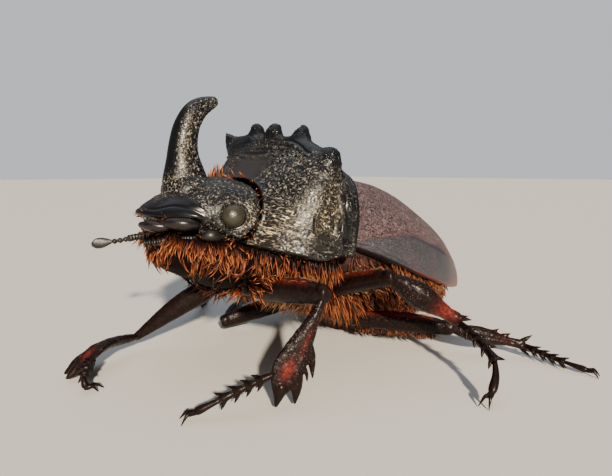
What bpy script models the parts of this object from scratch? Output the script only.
"""A large male European rhinoceros beetle, Oryctes nasicornis, about 41 mm from lip to wing tips.

It stands still on the tips of its six feet, head raised, with its left legs and its right legs at
different points of a walking step.  Each named part of the body is one closed solid.  All sizes
are in millimetres, turned into metres by MM as the meshes are made.

The trunk is modelled level, facing -Y, in its own frame, and is then pitched head-up about a
point at PIVOT_HEIGHT.  The legs are modelled where they stand, because their feet share one floor.
"""

import math

import bmesh
import bpy
from mathutils import Vector

MM = 0.001
GAP = 0.15                  # clearance between neighbouring parts
BODY_PITCH = 15.0           # degrees that the head is raised
PIVOT_HEIGHT = 10.0         # height of the point that the trunk is pitched about
FLOOR = Vector((0, 0, 0))

# Driving sizes of the trunk, in its own frame (front is -Y).
HEAD_FRONT, HEAD_REAR = -19.7, -9.6
PRONOTUM_FRONT, PRONOTUM_REAR = -12.9, -2.1
BREAST_FRONT, TRUNK_REAR = -5.0, 19.6
WAIST = 4.0                 # where the breast meets the belly
ELYTRA_FRONT, ELYTRA_REAR = -1.9, 20.6
BACK_HEIGHT = 7.5           # height of the back where the pronotum meets the wing cases
SHOULDER_SLOPE = 0.3        # how far that seam slants forward for each millimetre down
EYE_CENTRE = Vector((4.55, -13.8, 0.6))
EYE_RADIUS = 1.0

# The knobs of the crest: where each tip stands, on the left side of the trunk's frame.
CREST_KNOBS = [
    (Vector((0.0, -8.6, 9.4)), 0.75),
    (Vector((3.6, -8.2, 9.2)), 0.75),
    (Vector((7.8, -7.9, 7.8)), 0.8),
    (Vector((8.6, -6.6, 6.0)), 0.6),
]

# The stance: joints of each leg on the floor frame.  "toes" runs from the ankle to the claws'
# root, and "claws" are the two claw tips.  "outer" is the way the shin's toothed edge faces.
STANCE = {
    "fore_left": {
        "hip": Vector((2.8, -10.5, 6.8)), "knee": Vector((11.7, -9.6, 8.2)),
        "shin_tip": Vector((11.4, -14.0, 0.35)), "ankle": Vector((11.0, -14.4, 2.7)),
        "toes": [Vector((10.3, -16.0, 2.1)), Vector((9.5, -17.8, 1.3)), Vector((8.7, -19.2, 0.6))],
        "claws": [Vector((7.7, -20.1, 0.0)), Vector((8.9, -20.5, 0.0))],
        "outer": Vector((0.32, 0.82, -0.48)),
    },
    "fore_right": {
        "hip": Vector((-2.8, -10.5, 6.8)), "knee": Vector((-6.7, -17.6, 1.6)),
        "shin_tip": Vector((-3.6, -24.8, 0.35)), "ankle": Vector((-2.9, -22.8, 1.6)),
        "toes": [Vector((-1.7, -23.5, 1.7)), Vector((-0.8, -24.05, 1.25)), Vector((-0.55, -23.95, 0.5))],
        "claws": [Vector((-0.2, -23.0, 0.0)), Vector((-0.7, -22.3, 0.0))],
        "outer": Vector((-0.90, -0.30, -0.30)), "shin_arch": Vector((-4.9, -21.6, 1.95)),
    },
    "mid_left": {
        "hip": Vector((3.2, -3.2, 5.6)), "knee": Vector((12.2, -2.5, 8.6)),
        "shin_tip": Vector((16.1, 2.2, 4.7)), "ankle": Vector((16.2, 2.2, 4.5)),
        "toes": [Vector((18.3, 1.7, 3.7)), Vector((20.3, 0.7, 2.6)), Vector((20.9, -0.9, 0.9))],
        "claws": [Vector((20.3, -2.0, 0.0)), Vector((21.3, -1.9, 0.0))],
        "outer": Vector((0.6, -0.3, 0.7)),
    },
    "mid_right": {
        "hip": Vector((-3.2, -3.2, 5.6)), "knee": Vector((-8.1, -11.5, 4.4)),
        "shin_tip": Vector((-14.0, -7.2, 1.8)), "ankle": Vector((-14.1, -7.1, 1.6)),
        "toes": [Vector((-15.8, -6.0, 1.2)), Vector((-17.4, -4.9, 0.8)), Vector((-18.9, -3.9, 0.5))],
        "claws": [Vector((-20.1, -3.6, 0.0)), Vector((-19.6, -2.7, 0.0))],
        "outer": Vector((-0.5, 0.2, 0.8)),
    },
    "hind_left": {
        "hip": Vector((4.0, -0.2, 2.5)), "knee": Vector((13.1, 5.2, 2.7)),
        "shin_tip": Vector((18.1, 10.1, 1.3)), "ankle": Vector((18.2, 10.2, 1.2)),
        "toes": [Vector((20.0, 10.2, 0.9)), Vector((21.8, 10.3, 0.7)), Vector((23.4, 10.6, 0.45))],
        "claws": [Vector((24.5, 10.5, 0.0)), Vector((24.3, 11.4, 0.0))],
        "outer": Vector((0.1, 0.1, 1.0)),
    },
    "hind_right": {
        "hip": Vector((-4.0, 0.6, 2.6)), "knee": Vector((-6.2, -8.3, 1.3)),
        "shin_tip": Vector((-12.8, -1.6, 1.3)), "ankle": Vector((-12.9, -1.5, 1.2)),
        "toes": [Vector((-14.6, -0.1, 0.9)), Vector((-16.3, 1.3, 0.7)), Vector((-17.8, 2.6, 0.45))],
        "claws": [Vector((-19.0, 3.0, 0.0)), Vector((-18.3, 3.8, 0.0))],
        "outer": Vector((0.1, 0.1, 1.0)),
    },
}

# Half heights and half depths of the thighs and shins, by pair of legs.
GIRTH = {
    "fore": {"thigh": 1.0, "thigh_depth": 0.75, "shin": 0.9, "shin_depth": 0.5},
    "mid": {"thigh": 0.85, "thigh_depth": 0.7, "shin": 0.95, "shin_depth": 0.75},
    "hind": {"thigh": 0.95, "thigh_depth": 0.7, "shin": 0.75, "shin_depth": 0.6},
}
TOE_RADIUS = 0.36
CLAW_RADIUS = 0.27
SPINE_RADIUS = 0.27


# --- Scene set-up ---------------------------------------------------------------------------

def empty_scene():
    for obj in list(bpy.data.objects):
        bpy.data.objects.remove(obj, do_unlink=True)


def new_collection(name):
    collection = bpy.data.collections.new(name)
    bpy.context.scene.collection.children.link(collection)
    return collection


def new_material(name, color, roughness, metallic=0.0):
    material = bpy.data.materials.new(name)
    material.use_nodes = True
    shader = material.node_tree.nodes["Principled BSDF"]
    shader.inputs["Base Color"].default_value = (*color, 1.0)
    shader.inputs["Roughness"].default_value = roughness
    shader.inputs["Metallic"].default_value = metallic
    return material


def new_empty(name, parent=None):
    empty = bpy.data.objects.new(name, None)
    parts.objects.link(empty)
    empty.parent = parent
    return empty


empty_scene()
parts = new_collection("rhinoceros_beetle")
cutters = new_collection("cutters")
stand = new_empty("stand_point")
trunk = new_empty("trunk_frame", stand)
trunk.location = (0, 0, PIVOT_HEIGHT * MM)
trunk.rotation_euler = (-math.radians(BODY_PITCH), 0, 0)

black_shell = new_material("black_shell", (0.012, 0.011, 0.011), 0.3)
brown_shell = new_material("brown_shell", (0.075, 0.03, 0.028), 0.35)
leg_shell = new_material("leg_shell", (0.02, 0.008, 0.007), 0.28)
bristle_coat = new_material("bristle_coat", (0.42, 0.12, 0.02), 0.6)
eye_lens = new_material("eye_lens", (0.045, 0.042, 0.03), 0.25)


# --- Shapes ---------------------------------------------------------------------------------

def through(stations, x):
    """Smooth value at x of the curve through (x, value) stations, held level past both ends."""
    if x <= stations[0][0]:
        return stations[0][1]
    if x >= stations[-1][0]:
        return stations[-1][1]

    def slope(i):
        before = stations[max(i - 1, 0)]
        after = stations[min(i + 1, len(stations) - 1)]
        return (after[1] - before[1]) / (after[0] - before[0])

    i = max(k for k in range(len(stations) - 1) if stations[k][0] <= x)
    start, end = stations[i], stations[i + 1]
    span = end[0] - start[0]
    t = (x - start[0]) / span
    return (start[1] * (2 * t ** 3 - 3 * t ** 2 + 1) + slope(i) * (span * (t ** 3 - 2 * t ** 2 + t))
            + end[1] * (3 * t ** 2 - 2 * t ** 3) + slope(i + 1) * (span * (t ** 3 - t ** 2)))


def signed_power(value, exponent):
    return math.copysign(abs(value) ** exponent, value)


def ball(name, rings, sides, surface, material, parent, collection=None):
    """A sphere whose points are moved to surface(s, a): s runs 0 to 1 from pole to pole and a is
    the angle round it."""
    bm = bmesh.new()
    bmesh.ops.create_uvsphere(bm, u_segments=sides, v_segments=rings, radius=1.0)
    for vert in bm.verts:
        s = math.acos(max(-1.0, min(1.0, vert.co.z))) / math.pi
        a = math.atan2(vert.co.y, vert.co.x)
        vert.co = surface(s, a) * MM
    if bm.calc_volume(signed=True) < 0:
        bmesh.ops.reverse_faces(bm, faces=bm.faces)
    mesh = bpy.data.meshes.new(name)
    bm.to_mesh(mesh)
    bm.free()
    mesh.materials.append(material)
    mesh.shade_smooth()
    obj = bpy.data.objects.new(name, mesh)
    (collection or parts).objects.link(obj)
    obj.parent = parent
    return obj


def shell_form(front, rear, half_width, top, level, bottom, boxiness, lean=None):
    """Surface of a trunk part.  Each cross-section is two half superellipses that meet at its
    widest level, and every size is a curve along Y.  lean tells how far a section slopes forward
    below the height of the back, from the part of the length that it stands at."""
    def surface(s, a):
        y = front + (rear - front) * (1 - math.cos(math.pi * s)) / 2
        fullness = math.sin(math.pi * s) ** 0.25
        power = 2 / through(boxiness, y)
        middle = through(level, y)
        reach = through(top, y) - middle if a > 0 else middle - through(bottom, y)
        z = middle + reach * fullness * signed_power(math.sin(a), power)
        forward = (BACK_HEIGHT - z) * SHOULDER_SLOPE * lean((y - front) / (rear - front)) if lean else 0
        return Vector((through(half_width, y) * fullness * signed_power(math.cos(a), power),
                       y - forward, z))
    return surface


def egg_form(centre, radii):
    """Surface of an upright egg: radii are its half sizes along X, Y and Z."""
    def surface(s, a):
        round_s = math.sin(math.pi * s)
        return centre + Vector((radii[0] * round_s * math.cos(a), radii[1] * round_s * math.sin(a),
                                radii[2] * math.cos(math.pi * s)))
    return surface


def limb_form(path, outer, inner, depth, facing, bluntness=0.3, even=False):
    """Surface of a bent limb along a smooth path.  outer and inner are its reach toward and away
    from the facing direction, depth its half size across that.  Its rings crowd toward its round
    ends, or are even where it is ringed like a string of beads."""
    stations = [(i / (len(path) - 1), point) for i, point in enumerate(path)]
    step = 0.02

    def surface(s, a):
        along = s if even else (1 - math.cos(math.pi * s)) / 2
        fullness = math.sin(math.pi * s) ** bluntness
        ahead = through(stations, min(along + step, 1.0)) - through(stations, max(along - step, 0.0))
        ahead.normalize()
        outward = (facing - ahead * facing.dot(ahead)).normalized()
        sideways = ahead.cross(outward)
        reach = through(outer if math.cos(a) > 0 else inner, along)
        return (through(stations, along) + outward * (reach * fullness * math.cos(a))
                + sideways * (through(depth, along) * fullness * math.sin(a)))
    return surface


def round_limb(path, radius, even=False):
    """Surface of a limb of circular section."""
    return limb_form(path, radius, radius, radius, Vector((0.13, 0.21, 0.97)), even=even)


def slice_off(obj, point, away):
    """Cut off and cap what lies past a plane, on the side that away points to."""
    bm = bmesh.new()
    bm.from_mesh(obj.data)
    bmesh.ops.bisect_plane(bm, geom=bm.verts[:] + bm.edges[:] + bm.faces[:], dist=1e-7,
                           plane_co=point * MM, plane_no=away, clear_outer=True)
    bmesh.ops.holes_fill(bm, edges=[edge for edge in bm.edges if edge.is_boundary], sides=0)
    bm.to_mesh(obj.data)
    bm.free()


# --- Neighbours: unions and clearances ------------------------------------------------------

def hide_as_cutter(obj):
    obj.hide_render = True
    obj.display_type = "WIRE"


def add_boolean(obj, other, operation):
    modifier = obj.modifiers.new(f"{operation}_{other.name}", "BOOLEAN")
    modifier.operation = operation
    modifier.solver = "EXACT"
    modifier.object = other


def grown(obj):
    """A hidden copy of a part's plain shape, grown by the gap, that makes room for the part."""
    name = f"room_for_{obj.name}"
    if name in bpy.data.objects:
        return bpy.data.objects[name]
    mesh = obj.data.copy()
    normals = [vert.normal.copy() for vert in mesh.vertices]
    for vert, normal in zip(mesh.vertices, normals):
        vert.co += normal * GAP * MM
    copy = bpy.data.objects.new(name, mesh)
    cutters.objects.link(copy)
    copy.parent = obj.parent
    hide_as_cutter(copy)
    return copy


def make_room(obj, *neighbours):
    for neighbour in neighbours:
        add_boolean(obj, grown(neighbour), "DIFFERENCE")


def join(obj, *pieces):
    for piece in pieces:
        hide_as_cutter(piece)
        add_boolean(obj, piece, "UNION")


def mirrored(vector, side):
    return Vector((vector.x * side, vector.y, vector.z))


SIDES = (("left", 1), ("right", -1))


# --- Head -----------------------------------------------------------------------------------

def make_head():
    return ball("head", 12, 18, shell_form(
        HEAD_FRONT, HEAD_REAR,
        half_width=[(-19.7, 1.6), (-19.0, 2.5), (-17.3, 3.9), (-15.1, 4.7), (-13.8, 5.1),
                    (-11.8, 5.8), (-9.6, 5.6)],
        top=[(-19.7, -0.5), (-18.6, 0.6), (-16.5, 2.2), (-14.0, 3.9), (-12.0, 4.3), (-9.6, 4.2)],
        level=[(-19.7, -0.9), (-17.3, -0.5), (-13.8, 0.4), (-9.6, 0.6)],
        bottom=[(-19.7, -1.3), (-18.0, -2.0), (-15.0, -2.9), (-9.6, -3.6)],
        boxiness=[(-19.7, 2.4), (-15.0, 2.3), (-9.6, 2.4)]), black_shell, trunk)


def make_horn():
    path = [Vector((0, -15.6, 0.6)), Vector((0, -16.5, 3.0)), Vector((0, -17.15, 5.2)),
            Vector((0, -17.2, 7.2)), Vector((0, -16.6, 8.8)), Vector((0, -15.1, 9.9))]
    fore_and_aft = [(0.0, 2.9), (0.15, 2.3), (0.35, 1.5), (0.6, 1.2), (0.8, 1.0), (1.0, 0.65)]
    across = [(0.0, 2.2), (0.15, 1.8), (0.35, 1.3), (0.6, 1.1), (0.8, 0.95), (1.0, 0.6)]
    facing = Vector((0, -1, 0.1))
    return ball("horn", 11, 10, limb_form(path, fore_and_aft, fore_and_aft, across, facing),
                black_shell, trunk)


def make_eye(label, side):
    centre = mirrored(EYE_CENTRE, side)
    return ball(f"eye_{label}", 6, 10, egg_form(centre, (0.95, EYE_RADIUS, EYE_RADIUS)),
                eye_lens, trunk)


def make_mandible(label, side):
    path = [Vector((4.2, -16.5, -1.0)), Vector((3.5, -18.1, -1.3)), Vector((2.3, -19.2, -1.8)),
            Vector((1.1, -19.6, -2.0))]
    path = [mirrored(point, side) for point in path]
    width = [(0.0, 0.55), (0.5, 0.6), (1.0, 0.4)]
    height = [(0.0, 0.5), (0.5, 0.6), (1.0, 0.4)]
    return ball(f"mandible_{label}", 6, 7, limb_form(path, width, width, height, Vector((0, 0.3, 1))),
                black_shell, trunk)


def make_palp(label, side):
    path = [Vector((1.8, -17.6, -2.6)), Vector((2.1, -18.6, -2.9)), Vector((1.7, -19.5, -3.2))]
    path = [mirrored(point, side) for point in path]
    beads = [(0.0, 0.28), (0.2, 0.34), (0.34, 0.26), (0.5, 0.34), (0.64, 0.26), (0.85, 0.36), (1.0, 0.26)]
    return ball(f"palp_{label}", 8, 5, round_limb(path, beads), leg_shell, trunk)


def make_antenna(label, side):
    """The stalk of a feeler: a long first segment, then a string of beads.  The right one is held
    out in front and the left one is folded in below the cheek."""
    if side > 0:
        path = [Vector((4.9, -14.7, -2.1)), Vector((4.9, -16.2, -2.2)), Vector((4.1, -17.0, -2.3)),
                Vector((3.4, -17.7, -2.6))]
    else:
        path = [Vector((-3.8, -15.4, -2.0)), Vector((-4.4, -17.1, -2.5)), Vector((-4.9, -18.2, -3.3)),
                Vector((-5.5, -19.5, -3.9))]
    bead_count = 6
    beads = [(0.0, 0.27), (0.18, 0.3), (0.36, 0.36), (0.42, 0.25)]
    for k in range(bead_count):
        start = 0.42 + 0.58 * k / bead_count
        beads += [(start + 0.05, 0.33), (start + 0.58 / bead_count, 0.25)]
    return ball(f"antenna_{label}", 17, 5, round_limb(path, beads), leg_shell, trunk)


def make_club(label, side):
    """The leaves at the end of a feeler, held closed."""
    if side > 0:
        path = [Vector((3.6, -17.5, -2.5)), Vector((3.1, -18.3, -3.0)), Vector((2.9, -19.0, -3.8))]
    else:
        path = [Vector((-5.5, -19.5, -3.9)), Vector((-5.9, -20.3, -4.2)), Vector((-6.1, -21.0, -4.4))]
    height = [(0.0, 0.28), (0.35, 0.5), (0.75, 0.5), (1.0, 0.3)]
    depth = [(0.0, 0.25), (0.5, 0.38), (1.0, 0.28)]
    return ball(f"club_{label}", 6, 6, limb_form(path, height, height, depth, Vector((0, 0.2, 1))),
                leg_shell, trunk)


def make_chin():
    """The bristly underside of the head, out to the tips of its bristles."""
    return ball("chin", 7, 12, shell_form(
        -18.5, -10.4,
        half_width=[(-18.5, 2.6), (-17.0, 4.0), (-15.0, 5.0), (-12.0, 5.9), (-10.4, 6.0)],
        top=[(-18.5, -1.6), (-15.0, -1.5), (-10.4, -1.0)],
        level=[(-18.5, -2.6), (-15.0, -2.2), (-10.4, -2.2)],
        bottom=[(-18.5, -5.0), (-17.2, -5.8), (-15.0, -6.0), (-12.5, -6.5), (-10.4, -6.7)],
        boxiness=[(-18.5, 2.5), (-10.4, 2.5)]), bristle_coat, trunk)


# --- Prothorax ------------------------------------------------------------------------------

def make_pronotum():
    return ball("pronotum", 14, 20, shell_form(
        PRONOTUM_FRONT, PRONOTUM_REAR,
        half_width=[(-12.9, 6.6), (-12.2, 7.0), (-11.0, 8.0), (-8.7, 9.1), (-6.0, 9.5), (-4.5, 9.7),
                    (-2.0, 9.4)],
        top=[(-12.9, 3.8), (-12.2, 4.2), (-11.0, 5.5), (-9.8, 7.5), (-8.8, 8.9), (-7.8, 9.1),
             (-6.0, 8.6), (-4.0, 8.2), (-2.0, 7.6)],
        level=[(-12.9, -1.2), (-2.0, -1.2)],
        bottom=[(-12.9, -1.9), (-2.0, -2.0)],
        boxiness=[(-12.9, 2.7), (-11.0, 2.8), (-8.4, 4.0), (-5.0, 3.0), (-2.0, 2.6)],
        lean=lambda part_of_length: part_of_length ** 3), black_shell, trunk)


def make_crest_knobs():
    """Round knobs along the top of the pronotum's steep front, to be joined to it."""
    knobs = []
    for tip, radius in CREST_KNOBS:
        for label, side in SIDES if tip.x > 0 else (("middle", 1),):
            centre = mirrored(tip, side) - Vector((0, 0, 0.35))
            surface = egg_form(centre, (radius, radius, radius + 0.35))
            knobs.append(ball(f"knob_{len(knobs)}_{label}", 5, 6, surface, black_shell, trunk, cutters))
    return knobs


def make_prosternum():
    """The bristly underside of the prothorax, out to the tips of its bristles."""
    return ball("prosternum", 7, 14, shell_form(
        -12.3, -3.6,
        half_width=[(-12.3, 6.4), (-10.0, 7.8), (-7.0, 8.4), (-3.6, 8.0)],
        top=[(-12.3, -0.4), (-3.6, -0.4)],
        level=[(-12.3, -2.6), (-3.6, -2.4)],
        bottom=[(-12.3, -6.6), (-9.0, -6.9), (-6.0, -6.8), (-3.6, -6.5)],
        boxiness=[(-12.3, 2.5), (-3.6, 2.5)]), bristle_coat, trunk)


# --- Breast, belly and wing cases -----------------------------------------------------------

def hind_trunk_form():
    return shell_form(
        BREAST_FRONT, TRUNK_REAR,
        half_width=[(-5.0, 6.0), (-3.0, 8.0), (0.0, 9.0), (5.0, 9.5), (9.6, 9.1), (13.0, 8.0),
                    (16.0, 6.3), (18.5, 4.3), (19.6, 3.0)],
        top=[(-5.0, 4.0), (-2.0, 6.0), (2.0, 6.4), (6.0, 6.1), (10.0, 5.2), (13.0, 4.3), (16.0, 3.0),
             (18.5, 1.0), (19.6, -0.6)],
        level=[(-5.0, -1.2), (6.0, -2.4), (14.0, -2.6), (19.6, -2.2)],
        bottom=[(-5.0, -5.9), (0.0, -6.5), (8.0, -6.6), (12.0, -6.1), (15.5, -5.1), (18.0, -3.9),
                (19.6, -3.0)],
        boxiness=[(-5.0, 2.4), (10.0, 2.3), (19.6, 2.1)])


def make_hind_trunk(name, collection=None):
    return ball(name, 12, 16, hind_trunk_form(), bristle_coat, trunk, collection)


def make_elytron(label, side):
    elytron = ball(f"elytron_{label}", 14, 22, shell_form(
        ELYTRA_FRONT, ELYTRA_REAR,
        half_width=[(-1.9, 9.4), (-1.0, 9.9), (1.0, 10.3), (5.0, 10.4), (9.6, 9.7), (13.0, 8.5),
                    (16.0, 6.8), (18.5, 4.9), (20.6, 2.6)],
        top=[(-1.9, 7.2), (0.0, 7.6), (3.4, 7.5), (8.1, 6.8), (12.1, 5.9), (15.3, 4.6), (17.8, 3.0),
             (19.6, 1.2), (20.6, -0.3)],
        level=[(-1.9, 0.3), (0.6, -0.1), (4.8, -0.9), (9.6, -1.4), (15.0, -1.6), (20.6, -1.4)],
        bottom=[(-1.9, -0.2), (0.6, -0.7), (4.8, -1.6), (9.6, -2.1), (15.0, -2.3), (20.6, -2.1)],
        boxiness=[(-1.9, 2.5), (6.0, 2.35), (20.6, 2.2)],
        lean=lambda part_of_length: (1 - part_of_length) ** 3), brown_shell, trunk)
    slice_off(elytron, Vector((side * GAP / 2, 0, 0)), Vector((-side, 0, 0)))
    return elytron


def make_scutellum():
    """The small shield between the roots of the wing cases."""
    def surface(s, a):
        y = -2.6 + 2.5 * (1 - math.cos(math.pi * s)) / 2
        taper = math.sin(math.pi * s) ** 0.5 * (1.25 - 0.4 * (y + 2.6))
        return Vector((1.5 * taper * math.cos(a), y, 6.6 + 0.65 * math.sin(math.pi * s) * math.sin(a)))
    return ball("scutellum", 5, 8, surface, black_shell, trunk)


# --- Legs -----------------------------------------------------------------------------------

def make_coxa(name, leg):
    side = math.copysign(1, leg["hip"].x)
    centre = leg["hip"] + Vector((-0.9 * side, 0, 0.5))
    return ball(f"{name}_coxa", 4, 7, egg_form(centre, (1.4, 1.0, 1.0)), leg_shell, stand)


def make_femur(name, leg, girth):
    middle = (leg["hip"] + leg["knee"]) / 2 + Vector((0, 0, 0.25))
    height = [(0.0, 0.7), (0.15, 0.85), (0.5, 1.0), (0.85, 0.9), (1.0, 0.85)]
    half_height = [(t, part * girth["thigh"]) for t, part in height]
    half_depth = [(t, part * girth["thigh_depth"]) for t, part in height]
    form = limb_form([leg["hip"], middle, leg["knee"]], half_height, half_height, half_depth,
                     Vector((0, 0, 1)))
    return ball(f"{name}_femur", 6, 8, form, leg_shell, stand)


def make_spine(base, tip, radius, name):
    """A short pointed spine, to be joined to a shin."""
    taper = [(0.0, radius), (0.5, radius * 0.85), (1.0, radius * 0.45)]
    return ball(name, 4, 5, round_limb([base, tip], taper), leg_shell, stand, cutters)


def make_digging_tibia(name, leg):
    """The front shin: a flat blade that widens to its toothed end."""
    knee, tip = leg["knee"], leg["shin_tip"]
    path = [knee, leg.get("shin_arch", (knee + tip) / 2), tip]
    stations = [(i / 2, point) for i, point in enumerate(path)]
    along = (tip - path[1]).normalized()
    outward = (leg["outer"] - along * leg["outer"].dot(along)).normalized()
    outer = [(0.0, 0.5), (0.2, 0.5), (0.4, 0.8), (0.6, 1.1), (0.75, 0.75), (0.9, 0.45), (1.0, 0.3)]
    inner = [(0.0, 0.5), (0.2, 0.55), (0.35, 0.9), (0.55, 1.45), (0.7, 1.7), (0.8, 1.55), (0.9, 1.0),
             (1.0, 0.35)]
    depth = [(0.0, 0.45), (0.3, 0.5), (0.7, 0.5), (0.9, 0.4), (1.0, 0.28)]
    blade = ball(f"{name}_tibia", 11, 7, limb_form(path, outer, inner, depth, leg["outer"], 0.4),
                 leg_shell, stand)

    def on_blade(part_of_length, out):
        return through(stations, part_of_length) + outward * out
    teeth = [
        make_spine(on_blade(0.70, 0.2), on_blade(0.90, 1.25), 0.5, f"{name}_second_tooth"),
        make_spine(on_blade(0.46, 0.3), on_blade(0.67, 1.85), 0.45, f"{name}_third_tooth"),
    ]
    join(blade, *teeth)
    return blade


def make_walking_tibia(name, leg, girth):
    """A middle or hind shin, with two spines at its end and one part way down its outer edge."""
    knee, tip = leg["knee"], leg["shin_tip"]
    along = (tip - knee).normalized()
    outward = (leg["outer"] - along * leg["outer"].dot(along)).normalized()
    width = [(0.0, 0.6), (0.15, 0.75), (0.4, 1.0), (0.65, 0.85), (0.85, 0.62), (1.0, 0.65)]
    half_width = [(t, part * girth["shin"]) for t, part in width]
    half_depth = [(t, part * girth["shin_depth"]) for t, part in width]
    shin = ball(f"{name}_tibia", 7, 7,
                limb_form([knee, (knee + tip) / 2, tip], half_width, half_width, half_depth,
                          leg["outer"]), leg_shell, stand)
    spines = [
        make_spine(tip - along * 0.6 + outward * 0.1, tip + along * 0.1 + outward * 1.1,
                   SPINE_RADIUS, f"{name}_outer_spine"),
        make_spine(tip - along * 0.6 - outward * 0.1, tip + along * 0.7 - outward * 0.9,
                   SPINE_RADIUS, f"{name}_inner_spine"),
        make_spine(tip - along * 3.1 + outward * 0.2, tip - along * 2.4 + outward * 1.0,
                   SPINE_RADIUS, f"{name}_edge_spine"),
    ]
    join(shin, *spines)
    return shin


def make_tarsus(name, leg):
    """Four short segments, each flared at its far end, and a long last one."""
    segments = [(0.0, 0.7)]
    for k in range(4):
        start = 0.14 * k
        segments += [(start + 0.03, 0.72), (start + 0.12, 1.15), (start + 0.14, 0.72)]
    segments += [(0.62, 0.72), (0.9, 0.95), (1.0, 0.8)]
    radius = [(t, part * TOE_RADIUS) for t, part in segments]
    toe = ball(f"{name}_tarsus", 12, 5, round_limb([leg["ankle"], *leg["toes"]], radius, True),
               leg_shell, stand)
    slice_off(toe, FLOOR, Vector((0, 0, -1)))
    return toe


def make_claws(name, leg):
    """The pair of claws, joined at their root."""
    root = leg["toes"][-1]
    behind = root + (leg["toes"][-2] - root).normalized() * 0.1
    taper = [(0.0, 1.2), (0.4, 1.0), (1.0, 0.75)]
    radius = [(t, part * CLAW_RADIUS) for t, part in taper]
    claws = []
    for tip in leg["claws"]:
        arch = (tip + root) / 2 + Vector((0, 0, 0.2))
        label = f"{name}_claws" if not claws else f"{name}_second_claw"
        claw = ball(label, 4, 5, round_limb([behind, arch, tip], radius), leg_shell, stand,
                    cutters if claws else parts)
        slice_off(claw, FLOOR, Vector((0, 0, -1)))
        claws.append(claw)
    join(*claws)
    return claws[0]


def make_leg(name):
    leg = STANCE[name]
    pair = name.split("_")[0]
    coxa = make_coxa(name, leg)
    femur = make_femur(name, leg, GIRTH[pair])
    tibia = make_digging_tibia(name, leg) if pair == "fore" else make_walking_tibia(name, leg, GIRTH[pair])
    tarsus = make_tarsus(name, leg)
    claws = make_claws(name, leg)
    make_room(femur, coxa)
    make_room(tibia, femur)
    make_room(tarsus, tibia)
    make_room(claws, tarsus)
    return {"coxa": coxa, "femur": femur, "tibia": tibia, "tarsus": tarsus, "claws": claws}


# --- Assembly -------------------------------------------------------------------------------

def make_beetle():
    head = make_head()
    horn = make_horn()
    chin = make_chin()
    pronotum = make_pronotum()
    prosternum = make_prosternum()
    hind_trunk = make_hind_trunk("hind_trunk", cutters)
    hide_as_cutter(hind_trunk)
    breast = make_hind_trunk("breast")
    slice_off(breast, Vector((0, WAIST - GAP / 2, 0)), Vector((0, 1, 0)))
    belly = make_hind_trunk("belly")
    slice_off(belly, Vector((0, WAIST + GAP / 2, 0)), Vector((0, -1, 0)))
    scutellum = make_scutellum()
    legs = {name: make_leg(name) for name in STANCE}

    make_room(horn, head)
    for label, side in SIDES:
        eye = make_eye(label, side)
        mandible = make_mandible(label, side)
        palp = make_palp(label, side)
        antenna = make_antenna(label, side)
        club = make_club(label, side)
        make_room(head, eye)
        make_room(mandible, head)
        make_room(palp, head, mandible)
        make_room(antenna, head)
        make_room(club, antenna)
        make_room(chin, mandible, palp, antenna, club)
        elytron = make_elytron(label, side)
        make_room(elytron, hind_trunk, scutellum)
    join(pronotum, *make_crest_knobs())
    make_room(pronotum, head, prosternum, hind_trunk, scutellum)
    make_room(scutellum, hind_trunk)
    make_room(chin, head, prosternum)
    make_room(prosternum, head, hind_trunk)
    for name, leg in legs.items():
        flesh = {"fore": (chin, prosternum), "mid": (prosternum, breast), "hind": (breast, belly)}
        for solid in flesh[name.split("_")[0]]:
            make_room(solid, leg["coxa"], leg["femur"])


def stand_on_origin():
    """Move the whole beetle so that the middle of its footprint is the origin."""
    bpy.context.view_layer.update()
    depsgraph = bpy.context.evaluated_depsgraph_get()
    corners = []
    for obj in parts.objects:
        if obj.type == "MESH":
            shape = obj.evaluated_get(depsgraph)
            corners += [obj.matrix_world @ vert.co for vert in shape.data.vertices]
    low = Vector([min(corner[axis] for corner in corners) for axis in range(3)])
    high = Vector([max(corner[axis] for corner in corners) for axis in range(3)])
    stand.location = (-(low.x + high.x) / 2, -(low.y + high.y) / 2, -low.z)


make_beetle()
stand_on_origin()
